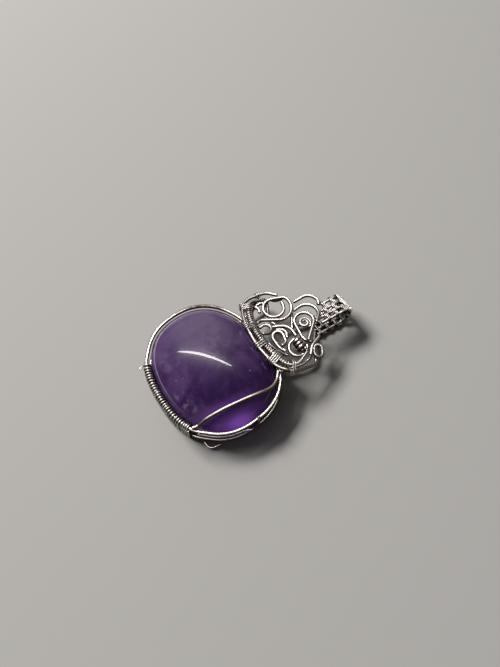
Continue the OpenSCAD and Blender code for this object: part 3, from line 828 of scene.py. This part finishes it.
# Tarnish and painted side shade of the woven loop
loop_tarnish_and_shade_mix = (0.06, 0.90, 0.30, 0.20, 0.0)
core_lines = [
    # place across the strip, how far a winding draws it to the right, pair of that winding
    (-0.15, 0.03, 0),
    (1.32, 0.04, 1),
    (2.62, 0.05, 2),
    (3.80, -0.03, 2),
]


def strip_point(along, across, lift=0.0):
    """A point of the folded strip: along its length from the start of the fold, across its
    width, and lifted off its middle surface, straight above and below and round between."""
    bend_long = np.pi * fold_r
    turn = np.clip(along, 0, bend_long) / fold_r
    before = np.clip(along, None, 0)
    after = np.clip(along - bend_long, 0, None)
    y = fold_y + before + (fold_r + lift) * np.sin(turn) - after
    z = loop_z + (fold_r + lift) * np.cos(turn)
    return np.stack(np.broadcast_arrays(across, y, z), -1)


def core_place(number, along):
    """Where a core lies across the strip: its own place, plus a sway that follows the
    windings of its pair."""
    place_across, sway, pair = core_lines[number]
    return place_across + sway * np.cos(2 * np.pi * (along - pair_places[pair]) / weave_pitch)


def core_start(number):
    """Where a core begins: the strip's front end is cut on the slant."""
    share = (core_lines[number][0] - loop_left_x) / loop_wide
    return base_left_y + share * (base_right_y - base_left_y) - fold_y


strip_end = np.pi * fold_r + fold_y - loop_back_y
loop_grids = []
for number in range(len(core_lines)):
    along = np.linspace(core_start(number), strip_end, core_points)
    core = strip_point(along, core_place(number, along))
    loop_grids.append(wire_rings(core, loop_core_r, up=(1, 0, 0)))


def strip_winding(low_core, high_core, at, turns, pitch):
    """Fine wire wound round the cores from one to another: a flat loop across the strip
    that moves along it by one pitch a turn."""
    count = np.linspace(0, turns, int(turns * weave_steps))
    along = at + (count - turns / 2) * pitch
    left = core_place(low_core, along)
    right = core_place(high_core, along)
    share = count % 1
    knots = [0, 0.12, 0.38, 0.62, 0.88, 1]
    to_right = np.interp(share, knots, [0.5, 0, 0, 1, 1, 0.5])
    angle = np.interp(share, knots, np.radians([90, 90, 270, 270, 450, 450]))
    reach = loop_core_r + weave_r
    across = left + (right - left) * to_right + reach * np.cos(angle)
    return wire_rings(strip_point(along, across, reach * np.sin(angle)), weave_r, fine_sides,
                      up=unit(np.gradient(strip_point(along, 0.0), axis=0)))


for pair, first_place in enumerate(pair_places):
    start = max(core_start(pair), core_start(pair + 1)) + front_margin
    places = first_place + weave_pitch * np.arange(-1, 12)
    for at in places[(places > start) & (places < strip_end - back_margin)]:
        loop_grids.append(strip_winding(pair, pair + 1, at, pair_turns, pair_pitch))
for at in (*wide_places, strip_end - wide_margin):
    loop_grids.append(strip_winding(0, len(core_lines) - 1, at, wide_turns, wide_pitch))
silver_piece("woven_loop", loop_grids, "bail", fine=True, tarnish_and_shade_mix=loop_tarnish_and_shade_mix)

# Tarnish in the hollows, and painted shade
# The silver was blackened all over and rubbed with a cloth, which reaches the outer faces
# only, so what other wires crowd stays dark. What faces sideways or down is darkened as well,
# as painted shade that leaves the tops of the wires lit and their sides dark.
crowd_reach = 0.62
# Crowding is felt a probe's length off the surface, from every ninth point within a look's
# length of a part of the piece, and 12 points at hand count as 1
probe_out = 0.55
thinning = 9
crowd_look = 1.0
crowd_full = 12.0
points_a_part = 1500
# The upward part of the normal below which the painted shade on the sides sets in, and the
# fall over which it fills
aside_from = 0.97
aside_range = 0.62
# One darker patch on the left of the frame
dark_patch_at = np.array([-13.5, 4.0])
dark_patch_reach = 6.5
dark_patch_share = 0.42


def point_places(piece):
    """Places of all the points of a piece, in millimetres."""
    places = np.empty(len(piece.data.vertices) * 3, np.float32)
    piece.data.vertices.foreach_get("co", places)
    return places.reshape(-1, 3) / mm


def point_normals(piece):
    """Directions in which the surface faces at all the points of a piece."""
    normals = np.empty(len(piece.data.vertices) * 3, np.float32)
    piece.data.vertex_normals.foreach_get("vector", normals)
    return normals.reshape(-1, 3)


everything = [point_places(piece) for piece, tarnish_and_shade_mix in silver_pieces]
thinned = np.concatenate([points[::thinning] for points in everything])
for (piece, tarnish_and_shade_mix), points in zip(silver_pieces, everything):
    normals = point_normals(piece)
    probes = points + probe_out * normals
    crowd = np.zeros(len(points), np.float32)
    for part in np.array_split(np.arange(len(points)), max(1, len(points) // points_a_part)):
        low = probes[part].min(0) - crowd_look
        high = probes[part].max(0) + crowd_look
        close = thinned[np.all((thinned > low) & (thinned < high), axis=1)]
        gap_squared = ((probes[part][:, None] - close[None]) ** 2).sum(-1)
        crowd[part] = np.exp(-gap_squared / (2 * (crowd_reach / 2) ** 2)).sum(1)
    crowd = crowd / crowd_full
    # Painted shade: the less a point faces straight up, the darker it is made
    painted_side_shade = smooth(np.clip((aside_from - normals[:, 2]) / aside_range, 0, 1))
    from_dark_patch = np.linalg.norm(points[:, :2] - dark_patch_at, axis=1) / dark_patch_reach
    # A ring of a winding starts at its outer crest, and its sides look at the next turns
    groove = np.sin(2 * np.pi * np.arange(len(points)) / fine_sides) ** 2
    on_crest, shade_on_sides, by_crowd, crowd_free, in_grooves = tarnish_and_shade_mix
    # Tarnish from the crest, the crowding, the grooves and the darker patch, plus painted shade down the
    # sides
    tarnish_and_shade = on_crest + shade_on_sides * painted_side_shade + by_crowd * np.clip(crowd - crowd_free, 0, 2)
    tarnish_and_shade += in_grooves * groove
    tarnish_and_shade += dark_patch_share * np.exp(-from_dark_patch**2)
    point_values(piece, "tarnish_and_shade", tarnish_and_shade)

# Floor, lamps and camera
# A plain pale floor, a long tube lamp whose image lies across the dome, a wide lamp for the
# silver alone, soft light from low on the left and from a window, and the camera at the
# photograph's place. Places and sizes are in metres, and a lamp's power in watts.
floor_half = 1.5
floor_colour = (0.60, 0.59, 0.57, 1)
tube_from = np.array([-1.18, -0.52, 1.085])
tube_to = np.array([-0.17, 0.48, 1.085])
tube_wide = 0.062
tube_power = 4.6
tube_colour = (1.0, 0.985, 0.97)
crest_at = np.array([-0.47, -0.10, 1.07])
crest_size = (1.55, 1.55)
crest_power = 11.5
crest_colour = (1.0, 0.98, 0.95)
side_at = np.array([-0.86, -0.36, 0.72])
side_size = (0.6, 0.25)
side_power = 16.0
side_colour = (1.0, 0.98, 0.96)
# The window: its direction, where its light starts and is full as the cosine of the angle to
# it, and its light, over the room's own
window_way = (-0.80, 0.27, 0.54)
window_edge = 0.80
window_middle = 0.97
window_light = 0.42
room_light = 0.04
room_colour = (1.0, 0.99, 0.98, 1)
# The camera: its place, its axes, its focal length and the picture's height in pixels. The
# sensor's width lies along the picture's longer side, which is its height
camera_at = np.array([40.386, -15.202, 103.715]) * mm
camera_right = np.array([0.51803, 0.85536, 0.0])
camera_up = np.array([-0.76214, 0.46157, 0.45399])
picture_focus = 501.0
picture_high = 667.0
sensor_wide = 36.0

floor_mesh = bpy.data.meshes.new("pale_floor")
corners = np.array([(-1, -1, 0), (1, -1, 0), (1, 1, 0), (-1, 1, 0)]) * floor_half
floor_mesh.from_pydata(corners, [], [(0, 1, 2, 3)])
floor = bpy.data.objects.new("pale_floor", floor_mesh)
bpy.context.scene.collection.objects.link(floor)
floor_material, _, floor_shader = new_material("pale_floor")
floor_shader.inputs["Base Color"].default_value = floor_colour
floor_shader.inputs["Roughness"].default_value = 0.9
floor.data.materials.append(floor_material)


def lamp(name, centre, size, power, along, facing, colour, shape="RECTANGLE"):
    """A flat lamp with its long side along one direction and its light sent along another."""
    data = bpy.data.lights.new(name, "AREA")
    data.shape = shape
    data.size, data.size_y = size
    data.energy = power
    data.color = colour
    behind = unit(-facing + facing.dot(along) * along)
    turn = np.stack([along, np.cross(behind, along), behind], 1)
    made = bpy.data.objects.new(name, data)
    made.matrix_world = Matrix.Translation(centre) @ Matrix(turn).to_4x4()
    made.visible_camera = False
    bpy.context.scene.collection.objects.link(made)
    return made


tube_centre = (tube_from + tube_to) / 2
tube_along = unit(tube_to - tube_from)
tube_lamp = lamp("tube_lamp", tube_centre, (np.linalg.norm(tube_to - tube_from), tube_wide), tube_power,
                 tube_along, -unit(tube_centre), tube_colour, "ELLIPSE")
side_lamp = lamp("side_lamp", side_at, side_size, side_power, unit(np.cross((0, 0, 1), side_at)),
                 -unit(side_at), side_colour)
side_lamp.visible_glossy = False
crest_lamp = lamp("crest_lamp", crest_at, crest_size, crest_power, np.array([1.0, 0.0, 0.0]),
                  -unit(crest_at), crest_colour)
silver_set = bpy.data.collections.new("silver_set")
pendant_set = bpy.data.collections.new("pendant_set")
pendant_set.objects.link(stone)
for piece, tarnish_and_shade_mix in silver_pieces:
    silver_set.objects.link(piece)
    pendant_set.objects.link(piece)
crest_lamp.light_linking.receiver_collection = silver_set
tube_lamp.light_linking.receiver_collection = pendant_set

world = bpy.data.worlds.new("room_with_window")
world.use_nodes = True
sky = world.node_tree
towards = place(sky, "ShaderNodeTexCoord", {}).outputs["Generated"]
facing = place(sky, "ShaderNodeVectorMath", {0: towards, 1: window_way}, operation="DOT_PRODUCT")
strength = spread(sky, facing.outputs["Value"], window_edge, window_middle, window_light)
strength = place(sky, "ShaderNodeMath", {0: strength, 1: room_light}, operation="ADD").outputs[0]
sky.links.new(strength, sky.nodes["Background"].inputs["Strength"])
sky.nodes["Background"].inputs["Color"].default_value = room_colour
bpy.context.scene.world = world
bpy.context.scene.view_settings.view_transform = "Standard"

camera_data = bpy.data.cameras.new("camera")
camera_data.sensor_width = sensor_wide
camera_data.lens = sensor_wide * picture_focus / picture_high
camera_data.clip_start = 0.005
camera_data.clip_end = 10.0
camera = bpy.data.objects.new("camera", camera_data)
camera_turn = np.stack([camera_right, camera_up, np.cross(camera_right, camera_up)], 1)
camera.matrix_world = Matrix.Translation(camera_at) @ Matrix(camera_turn).to_4x4()
bpy.context.scene.collection.objects.link(camera)
bpy.context.scene.camera = camera
